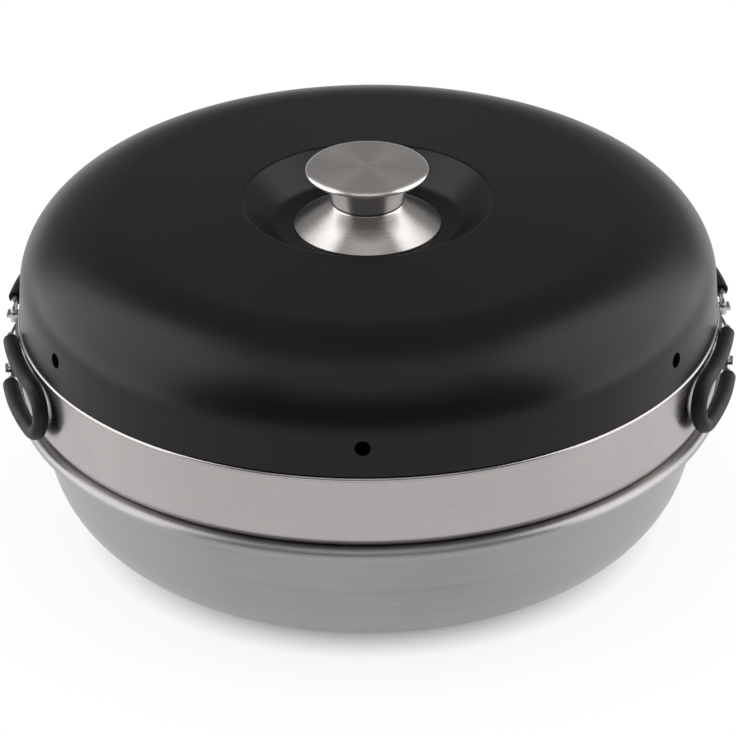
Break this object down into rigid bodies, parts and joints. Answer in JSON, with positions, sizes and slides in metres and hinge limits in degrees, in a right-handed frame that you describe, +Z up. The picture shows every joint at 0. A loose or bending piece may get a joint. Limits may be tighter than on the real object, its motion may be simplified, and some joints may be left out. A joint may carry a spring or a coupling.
{
  "type": "camp oven",
  "caption": "Stove-top camp oven: a flared steel base pan, a ring mould with a chimney, a domed vented lid with a knob, and folding wire handles.",
  "frame": {"origin": "centre of the base pan's underside, on the surface it stands on", "axes": "+Z up, -Y towards the front of the oven as the picture shows it, +X to the right; the handle brackets are at -X and +X"},
  "size_m": [0.2946, 0.286, 0.1553],
  "materials": {
    "base_steel": "turned stainless steel, brushed round the axis",
    "ring_steel": "turned stainless steel, brushed round the axis",
    "knob_steel": "polished stainless steel",
    "wire_steel": "bright drawn steel",
    "rivet_metal": "satin",
    "lid_coating": "satin black baked coating",
    "silicone": "satin black silicone"
  },
  "bodies": {
    "base": {"base_pan": "base_steel"},
    "mould": {"baking_ring": "ring_steel", "handle_bracket_left": "wire_steel", "handle_bracket_right": "wire_steel", "bracket_rivet_left_front": "rivet_metal", "bracket_rivet_left_rear": "rivet_metal", "bracket_rivet_right_front": "rivet_metal", "bracket_rivet_right_rear": "rivet_metal"},
    "lid": {"lid_shell": "lid_coating", "knob_cap": "knob_steel", "knob_bell": "knob_steel", "knob_core": "wire_steel", "knob_gasket": "silicone", "knob_washer": "wire_steel", "knob_screw": "wire_steel"},
    "handle_left_front": {"handle_wire_left_front": "wire_steel", "handle_sleeve_left_front": "silicone"},
    "handle_left_rear": {"handle_wire_left_rear": "wire_steel", "handle_sleeve_left_rear": "silicone"},
    "handle_right_front": {"handle_wire_right_front": "wire_steel", "handle_sleeve_right_front": "silicone"},
    "handle_right_rear": {"handle_wire_right_rear": "wire_steel", "handle_sleeve_right_rear": "silicone"}
  },
  "joints": [
    {"name": "mould_lift", "type": "slide", "parent": "base", "child": "mould", "axis": [0, 0, 1], "range_m": [0, 0.12]},
    {"name": "lid_lift", "type": "slide", "parent": "mould", "child": "lid", "axis": [0, 0, 1], "range_m": [0, 0.15]},
    {"name": "hinge_left_front", "type": "hinge", "parent": "mould", "child": "handle_left_front", "pos_m": [-0.14385, -0.012, 0.0883], "axis": [0, 0, -1], "range_deg": [0, 90]},
    {"name": "hinge_left_rear", "type": "hinge", "parent": "mould", "child": "handle_left_rear", "pos_m": [-0.14385, 0.012, 0.0883], "axis": [0, 0, 1], "range_deg": [0, 90]},
    {"name": "hinge_right_front", "type": "hinge", "parent": "mould", "child": "handle_right_front", "pos_m": [0.14385, -0.012, 0.0883], "axis": [0, 0, 1], "range_deg": [0, 90]},
    {"name": "hinge_right_rear", "type": "hinge", "parent": "mould", "child": "handle_right_rear", "pos_m": [0.14385, 0.012, 0.0883], "axis": [0, 0, -1], "range_deg": [0, 90]}
  ]
}
